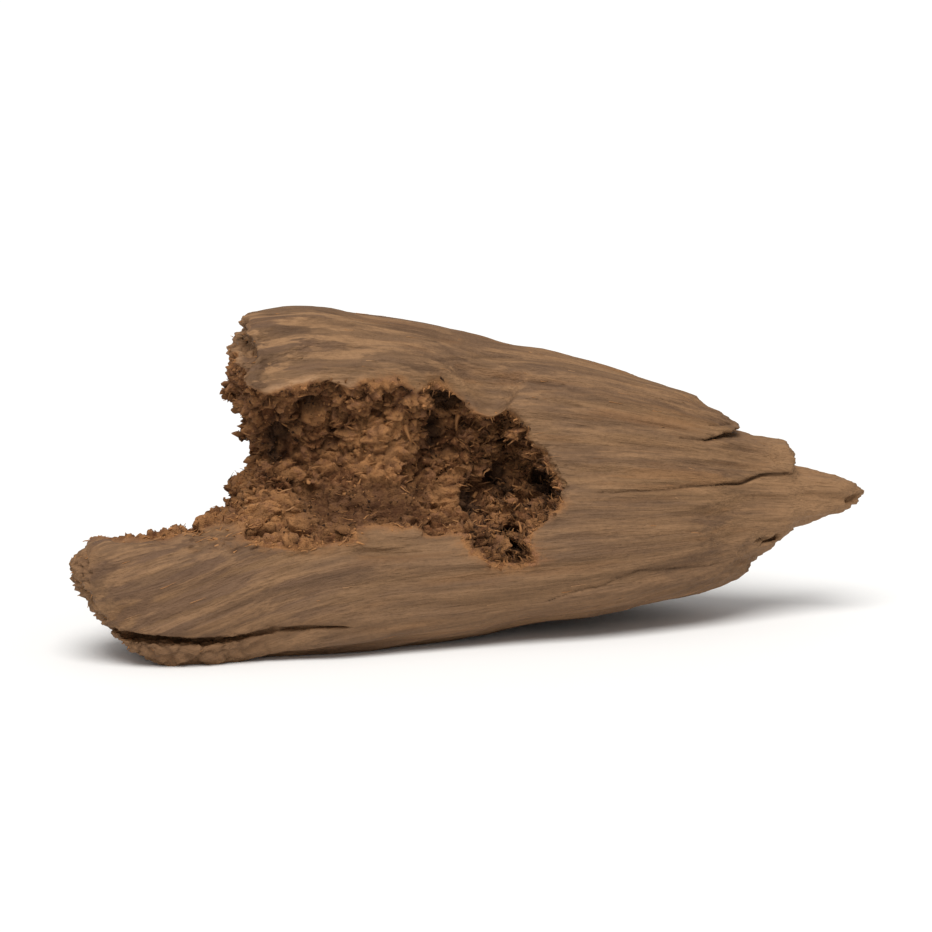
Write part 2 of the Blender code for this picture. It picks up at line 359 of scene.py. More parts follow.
def rotten_share(points, normals):
    """1 where the wood has rotted, 0 where it is sound."""
    near = nearness_to_rot(points)
    depth = depth_in_hollow(points, normals, near)
    sunken = smooth_step(depth, *SUNKEN_DEPTHS) * (1 - smooth_step(near, *SUNKEN_REACH))
    sunken *= smooth_step(points[:, 0] - BLUNT_END, *SUNKEN_FROM)
    return np.maximum(1 - smooth_step(near, *ROT_EDGE), sunken)


# %% [markdown]
# The rot isn't the same all over. In a few recesses it has gone deep, and painted shade makes them almost
# black. Between them stand mounds of paler wood that still hold, and they are painted paler, as painted
# light. Both are placed here by where they lie along the piece and how high, each with its reach along and
# up. Small pits of the same kind lie on the sound wood and at the ends, darkened with painted shade. Below
# the hollow's right end a shallow patch has crumbled too, the floor is calmer than the rest, both are
# darkened, and at the lower left the sound wood is frayed where it turns into rot.

# %% Place the recesses, the mounds and the pits
RECESSES = np.array(
    [
        (19.0, 17.2, 1.5, 2.4),
        (21.8, 20.8, 1.6, 0.8),
        (31.2, 22.2, 2.0, 0.9),
        (34.2, 20.6, 1.8, 1.3),
        (33.4, 17.0, 0.6, 2.0),
        (39.2, 13.2, 1.1, 1.5),
        (36.3, 11.8, 1.3, 1.2),
        (42.6, 13.4, 0.8, 1.6),
        (39.3, 9.8, 1.5, 0.35),
        (39.2, 8.7, 0.9, 0.3),
    ]
)
MOUNDS = np.array([(28.4, 17.1, 4.0, 2.8), (34.0, 12.0, 1.8, 1.0), (18.5, 12.0, 3.2, 1.3)])
PITS = np.array(
    [
        (0.9, 6.1, 1.0, 0.9),
        (16.5, 26.0, 0.8, 1.3),
        (71.2, 10.5, 0.9, 0.5),
        (62.9, 7.6, 1.3, 0.2),
    ]
)
CRUMBLED = np.array([(36.4, 9.7, 2.2, 1.4), (38.2, 8.5, 2.3, 1.5), (39.7, 8.0, 1.8, 1.1)])
CALM = np.array([(26.0, 12.2, 7.5, 2.0)])
FRAYED = np.array([(17.5, 11.2, 6.5, 1.5)])
RECESS_DEPTH = 0.8
MOUND_HEIGHT = 0.35
PIT_DEPTH = 0.6
CRUMBLED_DEPTH = 0.5
SPOT_EDGE = (0.55, 1.2)  # the shares of a spot's reach between which it fades out


def within(points, spots, ragged):
    """1 in the middle of the nearest of the spots, 0 outside them all."""
    offsets = (points[:, None, [0, 2]] - (BLUNT_END, 0) - spots[None, :, :2]) / spots[None, :, 2:]
    return 1 - smooth_step(np.linalg.norm(offsets, axis=2).min(axis=1) + ragged, *SPOT_EDGE)


# %% [markdown]
# Long drying cracks and short dark dashes lie where the fibres pulled apart. Those on the side with the
# hollow are placed one by one. Each is a
# line that follows the grain, widest halfway, with a slight wobble. Those on the back are drawn at random.

# %% Draw the cracks and the dashes
# Each row is half a width, a depth, how dark the line is, and the places that it runs through, from the blunt
# end and the floor.
MARKS = (
    (0.12, 0.2, 0.5, ((46.5, 13.1), (51.8, 13.0), (56.1, 13.0), (59.4, 12.9))),
    (0.17, 0.45, 0.9, ((57.6, 12.9), (60.2, 12.9), (62.4, 13.3), (65.6, 13.5))),
    (0.11, 0.14, 0.45, ((41.8, 4.0), (44.4, 4.8), (47.1, 5.2), (50.5, 6.1), (54.7, 5.9), (60.5, 6.1))),
    (0.1, 0.2, 0.5, ((57.8, 17.9), (61.6, 17.6))),
    (0.12, 0.2, 0.6, ((54.8, 17.1), (58.6, 16.6))),
    (0.26, 0.1, 0.3, ((19.4, 27.1), (21.8, 27.8), (23.0, 27.8), (26.2, 27.3))),
    (0.2, 0.06, 0.25, ((23.6, 25.6), (26.4, 25.6))),
    (0.3, 0.08, 0.3, ((26.6, 24.9), (28.6, 25.3), (30.3, 25.1), (33.2, 24.5))),
    (0.15, 0.1, 0.5, ((32.7, 24.4), (36.3, 24.0))),
    (0.12, 0.08, 0.4, ((36.4, 24.2), (40.8, 23.9))),
    (0.15, 0.12, 0.4, ((39.0, 23.5), (41.9, 23.2))),
    (0.14, 0.12, 0.5, ((38.2, 22.5), (41.3, 22.2))),
    (0.22, 0.15, 0.6, ((41.5, 22.2), (44.9, 21.8))),
    (0.22, 0.1, 0.35, ((42.3, 21.2), (46.1, 20.1))),
    (0.3, 0.08, 0.3, ((44.9, 21.6), (48.6, 20.5))),
    (0.3, 0.08, 0.3, ((45.2, 18.5), (49.0, 18.4), (53.2, 17.9))),
    (0.14, 0.08, 0.3, ((27.5, 9.2), (31.5, 9.6))),
)
MARK_WOBBLE = 0.12
CHECK_COUNT = 14
CHECK_AXIS_HEIGHT = 13  # the checks lie round a line at this height
CHECK_ANGLES = (-0.4, 1.5)
CHECK_STARTS = (4, 54)
CHECK_LENGTHS = (7, 16)
CHECK_WIDTHS = (0.007, 0.014)  # as angles


def marks_at(points):
    """How deep the placed marks are at each point, and how dark."""
    along = points[:, 0] - BLUNT_END
    depth = np.zeros(len(points))
    darkness = np.zeros(len(points))
    wobble = MARK_WOBBLE * noise_at(points, 1.6, 6.0, shift=83.0)
    for half_width, deepest, darkest, places in MARKS:
        stations, heights = np.array(places).T
        share = np.clip((along - stations[0]) / (stations[-1] - stations[0]), 0, 1)
        width = half_width * np.sqrt(4 * share * (1 - share)) + 1e-6
        away = np.abs(points[:, 2] - np.interp(along, stations, heights) - wobble)
        here = 1 - smooth_step(away / width, 0.2, 1.3)
        depth = np.maximum(depth, deepest * here)
        darkness = np.maximum(darkness, darkest * here)
    return depth, darkness


def checks_at(points):
    """1 in the middle of a long crack on the back, 0 away from it."""
    drawn = np.random.default_rng(3)
    along = points[:, 0] - BLUNT_END
    angle = np.arctan2(points[:, 2] - CHECK_AXIS_HEIGHT, points[:, 1])
    angle += 0.05 * noise_at(points, 9.0, 9.0, shift=7.3)
    angle += 0.02 * noise_at(points, 2.5, 2.5, shift=19.0)
    mask = np.zeros(len(points))
    for place in drawn.uniform(*CHECK_ANGLES, CHECK_COUNT):
        start = drawn.uniform(*CHECK_STARTS)
        length = drawn.uniform(*CHECK_LENGTHS)
        share = np.clip((along - start) / length, 0, 1)
        width = drawn.uniform(*CHECK_WIDTHS) * np.sqrt(4 * share * (1 - share)) + 1e-6
        mask = np.maximum(mask, 1 - smooth_step(np.abs(angle - place) / width, 0.2, 1.2))
    return mask * smooth_step(noise_at(points, 3.5, 3.5, shift=29.0), -0.35, 0.1)


# %% [markdown]
# The frame's solid has about ten thousand triangles, which is too few for grain. A copy of it is merged,
# because it comes as loose triangles, and remeshed into small squares of even size. A little smoothing then
# takes the facets away.
# %% Make a fine skin from the solid
FINE_VOXEL = 0.15 * MM
MERGE_DISTANCE = 0.001 * MM
SMOOTHING_STEPS = 15


def finished_mesh(thing, name):
    """The mesh that a thing has once its modifiers have run."""
    graph = bpy.context.evaluated_depsgraph_get()
    mesh = bpy.data.meshes.new_from_object(thing.evaluated_get(graph))
    mesh.name = name
    return mesh


def new_piece(name, mesh):
    piece = bpy.data.objects.new(name, mesh)
    scene.collection.objects.link(piece)
    return piece


def drop_specks(mesh):
    """Keeps a mesh's largest shell: a remesh can leave a speck beside a thin edge."""
    bm = bmesh.new()
    bm.from_mesh(mesh)
    unseen = set(bm.verts)
    shells = []
    while unseen:
        front = {unseen.pop()}
        shell = set(front)
        while front:
            front = {edge.other_vert(vert) for vert in front for edge in vert.link_edges} & unseen
            unseen -= front
            shell |= front
        shells.append(shell)
    shells.sort(key=len)
    for shell in shells[:-1]:
        bmesh.ops.delete(bm, geom=list(shell), context="VERTS")
    bm.to_mesh(mesh)
    bm.free()
    return len(shells) - 1


bm = bmesh.new()
bm.from_mesh(solid_wood.data)
bmesh.ops.remove_doubles(bm, verts=bm.verts, dist=MERGE_DISTANCE)
rough_mesh = bpy.data.meshes.new("rough_skin")
bm.to_mesh(rough_mesh)
bm.free()
skin = new_piece("wood_surface", rough_mesh)
remesh = skin.modifiers.new("even_squares", "REMESH")
remesh.mode = "VOXEL"
remesh.voxel_size = FINE_VOXEL
soften = skin.modifiers.new("soften_facets", "SMOOTH")
soften.iterations = SMOOTHING_STEPS
skin.data = finished_mesh(skin, "wood_surface")
skin.modifiers.clear()
print("the fine skin has", len(skin.data.vertices), "points, and lost", drop_specks(skin.data), "specks")

# %% [markdown]
# Now the skin is moved in and out along its normals. Sound wood gets broad flutes and finer ridges, all along
# the grain, and the marks from above. The flat base stays flat.

# %% Shape the sound wood
FLUTE_HEIGHT = 0.2
RIDGE_HEIGHT = 0.13
FINE_RIDGE_HEIGHT = 0.05
CHECK_DEPTH = 0.22
TORN_LENGTH = 0.5


def sound_relief(grain):
    relief = FLUTE_HEIGHT * noise_at(grain, 24.0, 2.8)
    relief += RIDGE_HEIGHT * noise_at(grain, 11.0, 0.95, shift=11.0, octaves=2)
    return relief + FINE_RIDGE_HEIGHT * noise_at(grain, 7.0, 0.4, shift=5.0)


# %% [markdown]
# Rotten wood breaks into chunks, with crevices between them, and the chunks into crumbs. In a Voronoi pattern
# the difference between the distances to the nearest two cells is 0 on the border between them, which makes
# the crevices, and every cell gets a height of its own. Bending the places with noise first keeps the cells
# from looking like crystals. Shreds are ridges, made from noise by folding it at zero. They run lengthwise,
# but on the hollow's end wall, where the fibres were broken across, they spread out from its middle.

# %% Shape the broken wood
# Each row is a chunk's size, the range of its height, and how deep the crevices about it are.
CHUNK_SIZES = (((1.9, 1.1, 1.2), 0.95, 0.5), ((0.75, 0.42, 0.45), 0.4, 0.2))
CHUNK_BEND = 0.55
CHUNK_BEND_SIZE = 1.3
CREVICE_EDGE = (0.02, 0.3)
SHRED_HEIGHT = 0.22
COMB_HEIGHT = 0.5
COMB_TEETH = 6.0
COMB_SIZE = (2.4, 1.6, 1.0)
HOLLOW_MIDDLE = (34.5, 16.0)  # along the piece from its blunt end, and up
END_WALL_EDGE = (1.5, 4.5)  # how far past that middle the end wall begins


def chunks_at(points):
    """How high broken chunks stand at each point, how far inside a crevice it is, and its chunk's tint."""
    bends = [noise.noise_vector(place)[:] for place in (points / CHUNK_BEND_SIZE).tolist()]
    bent = points + CHUNK_BEND * np.array(bends)
    height = np.zeros(len(points))
    crevices = np.zeros(len(points))
    tints = np.full(len(points), 0.5)
    for size, rise, depth in CHUNK_SIZES:
        cells = [noise.voronoi(place) for place in (bent / size).tolist()]
        gap = np.array([distances[1] - distances[0] for distances, _ in cells])
        own = np.array([noise.noise(nearest[0] * 5.0) for _, nearest in cells])
        crevice = 1 - smooth_step(gap, *CREVICE_EDGE)
        height += rise * own - depth * crevice
        crevices = np.maximum(crevices, crevice * depth * 2)
        tints += 0.5 * own
    return height, crevices, tints.clip(0, 1)


def shreds_at(places):
    """Ridges that run lengthwise: 1 on their crests."""
    return 1 - 3 * np.abs(noise_at(places, 2.6, 0.5, shift=53.0))


def comb_at(points):
    """The shreds that spread out over the hollow's end wall, and how much of that wall a point is on."""
    along = points[:, 0] - BLUNT_END - HOLLOW_MIDDLE[0]
    up = points[:, 2] - HOLLOW_MIDDLE[1]
    radius = np.hypot(along, up)
    turned = np.stack([radius, points[:, 1], np.arctan2(up, along) * COMB_TEETH], axis=1)
    folded = 1 - 3.2 * np.abs(noise_at(turned / COMB_SIZE, 1, 1, shift=41.0))
    return folded, smooth_step(along, *END_WALL_EDGE)


def rotten_relief(points, chunks, recess, mound):
    """How high the rotten wood stands at each point, and how much painted shade darkens it there."""
    comb, end_wall = comb_at(points)
    relief = chunks * (1 - 0.45 * mound) + SHRED_HEIGHT * shreds_at(points) * (1 - end_wall)
    relief += COMB_HEIGHT * comb * end_wall - RECESS_DEPTH * recess + MOUND_HEIGHT * mound
    # Painted shade: the recesses, and the end wall between its shreds, are darkened.
    return relief, np.clip(recess + end_wall * (0.2 - 0.25 * comb), 0, 1)


# %% [markdown]
# The rim of the hollow is what the eye checks first. Without this step the rim ran 1.4 mm off the
# photograph's on average, read off at 29 places. Nudging the skin there is gentler than cutting it. A shift
# stays small beside its reach, or the skin would fold over itself.

# %% Nudge the rim into place
# Each row is a middle, from the blunt end and the floor, a reach along and up, and a shift along and up.
NUDGES = (
    (18.5, 22.5, 5.5, 3.5, 0.0, -0.7),
    (30.0, 23.8, 6.5, 3.0, 0.0, 0.9),
    (37.1, 22.0, 4.0, 3.4, 0.0, -1.7),
    (39.2, 22.2, 2.8, 2.6, 0.0, -0.6),
    (43.4, 19.3, 5.5, 4.0, -1.9, -0.2),
    (44.6, 16.2, 5.0, 4.0, -1.8, 0.0),
    (41.9, 9.3, 4.2, 3.2, -1.9, -0.7),
    (29.5, 12.4, 9.5, 4.5, 0.0, -1.9),
)
NUDGES_END = (2, 8)  # how far back they fade out, from the middle of the piece


def nudged(points):
    """Where the nudges take each point. The back stays as it is."""
    moved = points.copy()
    in_front = 1 - smooth_step(points[:, 1], *NUDGES_END)
    for along, up, reach_along, reach_up, shift_along, shift_up in NUDGES:
        across = (points[:, 0] - BLUNT_END - along) / reach_along
        above = (points[:, 2] - up) / reach_up
        weight = (1 - across ** 2 - above ** 2).clip(0) ** 2 * in_front
        moved[:, 0] += shift_along * weight
        moved[:, 2] += shift_up * weight
    return moved


# %% [markdown]
# Where the rot begins and ends is worked out on the mesh itself. A mask can spread from each point to its
# neighbours along the edges: spreading it and then drawing it back closes the holes in it, and counting how
# many steps it takes to draw it back to nothing says how far inside the rot a point lies.

# %% Spread masks over the skin
CLOSING_STEPS = 7
COUNTED_STEPS = 22


def spread(mask, edges, steps):
    """The mask after every point has taken the largest value among its neighbours, so many times over."""
    for _ in range(steps):
        wider = mask.copy()
        np.maximum.at(wider, edges[:, 0], mask[edges[:, 1]])
        np.maximum.at(wider, edges[:, 1], mask[edges[:, 0]])
        mask = wider
    return mask


def closed_mask(mask, edges):
    return 1 - spread(1 - spread(mask, edges, CLOSING_STEPS), edges, CLOSING_STEPS)


def how_far_inside(mask, edges):
    """0 at the mask's border, rising to 1 well inside it."""
    steps = np.zeros(len(mask))
    for _ in range(COUNTED_STEPS):
        mask = 1 - spread(1 - mask, edges, 1)
        steps += mask
    return steps / COUNTED_STEPS


# %% [markdown]
# The kinds of relief meet at the rim of the rot, and the rotten one grows from there inwards. Under the long
# crack of the foot, and at both ends, the wood isn't rotten but worn and broken, so it gets the chunks at a
# third of their height. Fibres that end at a torn face are all of different lengths, so points there also
# move along the piece. The masks are kept on the mesh as attributes, because the colours need them.

# %% Move the skin's points
CRACK_STATIONS = (0, 5, 10.5, 15, 26)  # where the foot's crack runs, from the blunt end
CRACK_HEIGHTS = (3.4, 3.0, 2.2, 2.9, 3.0)  # and from the floor
SEEN_FACING = (0.1, 0.3)  # how squarely a point has to face the viewer to count as seen
PATCH_NOISE = 0.3
RIM_STEPS = 4
RIM_ON_FRAYED = 0.8
WORN_CHUNKS = 0.32
WORN_SHREDS = 0.15
FRAYED_SHREDS = 0.22
CALM_SHARE = 0.6
CALM_DARKNESS = 0.62
CRUMBLED_DARKNESS = 0.52
FADE_IN = (0.02, 0.3)  # how far inside the rot its relief reaches its full height
TORN_FACING = (0.2, 0.65)  # how squarely a point has to face along the piece to count as torn
TIP_FROM = (45, 55)  # towards the tip the torn faces are calmer
TIP_CALM = 0.7
BASE_FACING = (0.8, 0.95)
BASE_HEIGHT = 0.4
LIP_HEIGHTS = (19, 21)
LIP_ENDS = (24, 28)


def arrays_of(mesh):
    """A mesh's points and normals as arrays, the points in millimetres."""
    count = len(mesh.vertices)
    places = np.empty(count * 3)
    mesh.vertices.foreach_get("co", places)
    normals = np.empty(count * 3)
    mesh.vertex_normals.foreach_get("vector", normals)
    return places.reshape(-1, 3) / MM, normals.reshape(-1, 3)


def worn_wood(points, normals):
    """1 where sound wood is worn and broken: beneath the foot's crack and at the torn ends."""
    along = points[:, 0] - BLUNT_END
    crack_height = np.interp(along, CRACK_STATIONS, CRACK_HEIGHTS)
    strip = 1 - smooth_step(points[:, 2] - crack_height + 0.5 * noise_at(points, 2.0, 2.0, 91.0), 0.0, 0.8)
    strip *= (1 - smooth_step(along, 10, 22)) * smooth_step(-points[:, 1], 4, 8)
    foot_end = smooth_step(-normals[:, 0], 0.4, 0.7) * (along < 20) * (1 - smooth_step(points[:, 2], 12, 16))
    upper_end = smooth_step(-normals[:, 0], 0.35, 0.7) * (along < 20) * smooth_step(points[:, 2], 20, 22)
    tip = smooth_step(normals[:, 0], 0.6, 0.9) * (along > 60) * 0.5
    return np.maximum.reduce([strip, foot_end, upper_end, tip])


def shape_surface(points, normals, grain, edges):
    """New places for the skin's points, and the masks that the colours need."""
    rotten = rotten_share(points, normals)
    worn = worn_wood(points, normals)
    points = nudged(points)
    seen = smooth_step(normals @ TOWARDS_VIEWER, *SEEN_FACING)
    ragged = PATCH_NOISE * noise_at(points, 0.9, 0.9, shift=61.0, octaves=2)
    crumbled = within(points, CRUMBLED, ragged) * seen
    rot = closed_mask(np.maximum(rotten, smooth_step(crumbled, 0.4, 0.6)), edges)
    inside = how_far_inside(rot, edges)
    worn *= 1 - rot
    frayed = within(points, FRAYED, 2 * ragged) * seen * (1 - rot)
    rim = np.maximum(spread(rot, edges, RIM_STEPS) * (1 - rot), RIM_ON_FRAYED * frayed)
    recess = within(points, RECESSES, ragged) * rot
    mound = within(points, MOUNDS, ragged) * rot
    calm = within(points, CALM, ragged) * rot
    pits = within(points, PITS, ragged) * seen
    mark_depth, marks = marks_at(points)
    checks = checks_at(points) * (1 - seen)

    outward = sound_relief(grain) - PIT_DEPTH * pits - CHECK_DEPTH * checks - mark_depth * seen
    # Painted shade: the pits are darkened.
    shade_and_dark_rot = pits
    # Cracks, dashes and checks are darkened: dust and painted shade.
    groove_dust_and_shade = np.maximum(checks, marks * seen) * (1 - rot)
    broken = np.maximum.reduce([rot, worn, frayed]) > 0
    tints = np.full(len(points), 0.5)
    chunks, crevices, tints[broken] = chunks_at(points[broken])
    shreds = shreds_at(grain[broken])
    worn_relief = worn[broken] * (WORN_CHUNKS * chunks + WORN_SHREDS * shreds)
    outward[broken] += worn_relief + FRAYED_SHREDS * frayed[broken] * shreds
    # Painted shade in the crevices of worn wood and between frayed shreds.
    gaps = np.maximum(worn[broken] * crevices * 0.5, 0.8 * frayed[broken] * smooth_step(-shreds, -0.3, 0.6))
    groove_dust_and_shade[broken] = np.maximum(groove_dust_and_shade[broken], gaps)
    relief, rot_shade = rotten_relief(points[broken], chunks, recess[broken], mound[broken])
    relief = relief * (1 - CALM_SHARE * calm[broken]) - CRUMBLED_DEPTH * crumbled[broken]
    # Painted shade in the recesses, on the end wall and in the crevices between chunks; the calm floor and
    # the crumbled patch are darkened too.
    shades = [rot_shade, CALM_DARKNESS * calm[broken], CRUMBLED_DARKNESS * crumbled[broken], crevices * 0.5]
    fade = smooth_step(inside[broken], *FADE_IN)
    relief *= np.where(relief < 0, fade, 0.4 + 0.6 * fade)
    outward[broken] += rot[broken] * (relief - outward[broken])
    shade = rot[broken] * np.maximum.reduce(shades) * (0.3 + 0.7 * fade)
    shade_and_dark_rot[broken] = np.maximum(shade_and_dark_rot[broken], shade)
    tip = smooth_step(grain[:, 0], *TIP_FROM)
    torn = TORN_LENGTH * noise_at(grain, 30.0, 0.55, shift=23.0, octaves=2)
    torn *= smooth_step(np.abs(normals[:, 0]), *TORN_FACING) * (1 - TIP_CALM * tip)

    free = 1 - smooth_step(-normals[:, 2], *BASE_FACING) * (points[:, 2] < BASE_HEIGHT)
    moved = points + normals * (outward * free)[:, None]
    moved[:, 0] += torn * free
    moved[:, 2] = np.maximum(moved[:, 2], 0)
    near_blunt_end = 1 - smooth_step(points[:, 0] - BLUNT_END, *LIP_ENDS)
    # Painted highlight: the thin lip along the upper rim is marked to be painted pale.
    lip_highlight = rim * smooth_step(points[:, 2], *LIP_HEIGHTS) * near_blunt_end * seen
    masks = {"rot": rot, "inside": inside, "rim": rim, "lip_highlight": lip_highlight}
    masks.update({"groove_dust_and_shade": groove_dust_and_shade, "shade_and_dark_rot": shade_and_dark_rot, "mound": mound, "worn": worn, "chunk_tint": tints})
    return moved, masks


def store(mesh, name, values, kind="FLOAT"):
    field = "value" if kind == "FLOAT" else "vector"
    layer = mesh.attributes.new(name, kind, "POINT")
    layer.data.foreach_set(field, np.ascontiguousarray(values, dtype=np.float32).ravel())


points, normals = arrays_of(skin.data)
edges = np.empty(len(skin.data.edges) * 2, dtype=np.int32)
skin.data.edges.foreach_get("vertices", edges)
grain = grain_of(nudged(points))  # read after the nudges, so that they don't bend the fibres
moved, masks = shape_surface(points, normals, grain, edges.reshape(-1, 2))
moved = np.clip(moved, np.array(cad_low) / MM, np.array(cad_high) / MM)
skin.data.vertices.foreach_set("co", (moved * MM).ravel())
store(skin.data, "grain", grain, "FLOAT_VECTOR")
for name, values in masks.items():
    store(skin.data, name, values)
skin.data.update()
print("rotten share of the surface", round(float(masks["rot"].mean()), 3))

# %% [markdown]
# The skin has far more faces than its flat places need. Decimate collapses the edges that matter least, so
# the crumbs keep their faces and the smooth wood gives up most of its own. It carries the stored masks along.

# %% Thin the skin out
MOST_TRIANGLES = 196000

thin = skin.modifiers.new("fewer_faces", "DECIMATE")
thin.ratio = MOST_TRIANGLES / (2 * len(skin.data.polygons))
thin.use_collapse_triangulate = True
skin.data = finished_mesh(skin, "wood_surface")
skin.modifiers.clear()
skin.data.shade_smooth()
print("the skin keeps", len(skin.data.polygons), "faces")

# %% [markdown]
# Rot leaves loose crumbs lying in the hollow, and torn wood bristles with the ends of fibres. Both are
# thousands of small shapes, so a few kinds are modelled and then repeated, each copy with its own size, turn
# and tint, and all joined in one mesh. The places are drawn at random on the skin's faces, a large face more
# often than a small one, from a generator with a fixed seed.

# %% Prepare to scatter small pieces
rng = np.random.default_rng(7)
TINT_SPREAD = 0.14


def face_samples(mesh):
    """The skin's faces as arrays: corners in millimetres, normals, areas, and the masks in their middles."""
    count = len(mesh.polygons)
    corners = np.empty(count * 3, dtype=np.int32)
    mesh.loops.foreach_get("vertex_index", corners)
    corners = corners.reshape(-1, 3)
    places = np.empty(len(mesh.vertices) * 3)
    mesh.vertices.foreach_get("co", places)
    places = places.reshape(-1, 3) / MM
    normals = np.empty(count * 3)
    mesh.polygon_normals.foreach_get("vector", normals)
    areas = np.empty(count)
    mesh.polygons.foreach_get("area", areas)
    sampled = {}
    for name in ("rot", "inside", "rim", "shade_and_dark_rot", "mound"):
        values = np.empty(len(mesh.vertices))
        mesh.attributes[name].data.foreach_get("value", values)
        sampled[name] = values[corners].mean(axis=1)
    return places[corners], normals.reshape(-1, 3), areas, sampled


face_corners, face_normals, face_areas, face_masks = face_samples(skin.data)
face_middles = face_corners.mean(axis=1)


def drawn_faces(weight, count):
    """Numbers of faces, drawn with a chance of their area times a weight, and a place on each."""
    chance = face_areas * weight
    chosen = rng.choice(len(chance), size=count, p=chance / chance.sum())
    shares = rng.dirichlet((1, 1, 1), size=count)
    return chosen, (face_corners[chosen] * shares[:, :, None]).sum(axis=1)


def as_kind(bm):
    """A small shape as arrays of its points and triangles, to be repeated."""
    bmesh.ops.triangulate(bm, faces=bm.faces)
    bm.verts.index_update()
    places = np.array([vert.co[:] for vert in bm.verts])
    triangles = np.array([[vert.index for vert in face.verts] for face in bm.faces])
    bm.free()
    return places, triangles


def joined_copies(name, kinds, which, axes, origins, tints):
    """One piece with a copy of a kind at each origin. Each copy's axes are the columns of a 3 by 3 array."""
    all_places = []
    all_triangles = []
    all_tints = []
    used = 0
    for number, (places, triangles) in enumerate(kinds):
        chosen = which == number
        copies = np.einsum("nij,vj->nvi", axes[chosen], places) + origins[chosen][:, None, :]
        starts = used + np.arange(len(copies)) * len(places)
        all_places.append(copies.reshape(-1, 3))
        all_triangles.append((triangles[None, :, :] + starts[:, None, None]).reshape(-1, 3))
        all_tints.append(np.repeat(tints[chosen], len(places)))
        used += len(copies) * len(places)
    mesh = bpy.data.meshes.new(name)
    inside = np.clip(np.concatenate(all_places), np.array(cad_low) / MM, np.array(cad_high) / MM)
    mesh.from_pydata(inside * MM, [], np.concatenate(all_triangles))
    store(mesh, "tint", np.concatenate(all_tints))
    print(name, "has", len(which), "copies and", len(mesh.polygons), "faces")
    return new_piece(name, mesh)


# %% [markdown]
# A crumb is a lump with a dozen corners, each pushed in or out, and drawn out in one direction, because wood
# breaks into chips rather than balls. The crumbs sit in the rot, well sunk, and more are small than large.

# %% Scatter the crumbs
CRUMB_KINDS = 8
CRUMB_COUNT = 4200
CRUMB_RADII = (0.05, 0.2)
CRUMB_ROUGHNESS = 0.75
CRUMB_SQUASH = (0.35, 1.0)
CRUMB_STRETCH = 1.7
CRUMB_TINT = 0.4


def crumb_kind(number):
    bm = bmesh.new()
    bmesh.ops.create_icosphere(bm, subdivisions=1, radius=1)
    for vert in bm.verts:
        vert.co *= 1 + CRUMB_ROUGHNESS * noise.noise(vert.co * 1.4 + Vector((number * 9.1, 0, 0)))
    return as_kind(bm)


def random_turns(count):
    """Rotation arrays with no preferred direction."""
    first = unit(rng.normal(size=(count, 3)))
    second = unit(np.cross(first, rng.normal(size=(count, 3))))
    return np.stack([first, second, np.cross(first, second)], axis=2)


def scatter_crumbs():
    clumps = 0.25 + noise_at(face_middles, 2.2, 2.2, 71.0).clip(0)
    weight = face_masks["rot"] * (face_masks["rot"] > 0.4) * clumps
    chosen, places = drawn_faces(weight, CRUMB_COUNT)
    radii = CRUMB_RADII[0] + (CRUMB_RADII[1] - CRUMB_RADII[0]) * rng.power(0.45, CRUMB_COUNT)
    squash = rng.uniform(*CRUMB_SQUASH, size=(CRUMB_COUNT, 3)) * (1, 1, CRUMB_STRETCH)
    axes = random_turns(CRUMB_COUNT) * (radii[:, None] * squash)[:, None, :]
    origins = places + face_normals[chosen] * (radii * 0.1)[:, None]
    # Painted light: crumbs on the mounds and near the rim are paler.
    paler_painted_light = 0.12 * face_masks["mound"][chosen] + 0.12 * (1 - face_masks["inside"][chosen])
    # Crumbs in the shaded places get the same painted shade.
    tints = rng.normal(CRUMB_TINT, TINT_SPREAD, CRUMB_COUNT) - 0.4 * face_masks["shade_and_dark_rot"][chosen] + paler_painted_light
    kinds = [crumb_kind(number) for number in range(CRUMB_KINDS)]
    which = rng.integers(CRUMB_KINDS, size=CRUMB_COUNT)
    return joined_copies("hollow_crumbs", kinds, which, axes, origins, tints.clip(0, 1))


crumbs = scatter_crumbs()

# %% [markdown]
# A splinter is a stick that tapers and bends, and one stick is bent in a few ways. Its foot is sunk in the
# wood, and it leans the way the wood was torn there, so each group of splinters has its own place, direction,
# length and thickness. A few stout ones in the hollow are placed one by one.

# %% Scatter the torn fibres
FIBRE_BENDS = (-0.35, -0.15, 0.1, 0.25, 0.45)
FIBRE_CUTS = 3
FIBRE_SIDES = 4
FIBRE_TIP = 0.25  # how thick its tip is beside its foot
SUNK_SHARE = 0.12


def fibre_kind(bend):
    """A stick from 0 to 1 along Z that tapers and bends towards X."""
    bm = bmesh.new()
    bmesh.ops.create_cone(bm, cap_ends=True, segments=FIBRE_SIDES, radius1=1, radius2=FIBRE_TIP, depth=1)
    long_edges = [edge for edge in bm.edges if abs(edge.verts[0].co.z - edge.verts[1].co.z) > 0.5]
    bmesh.ops.subdivide_edges(bm, edges=long_edges, cuts=FIBRE_CUTS)
    bmesh.ops.translate(bm, verts=bm.verts, vec=(0, 0, 0.5))
    for vert in bm.verts:
        vert.co.x += bend * vert.co.z ** 2 * 6
        vert.co.y += 0.6 * math.sin(5 * vert.co.z + 9 * bend)
    return as_kind(bm)


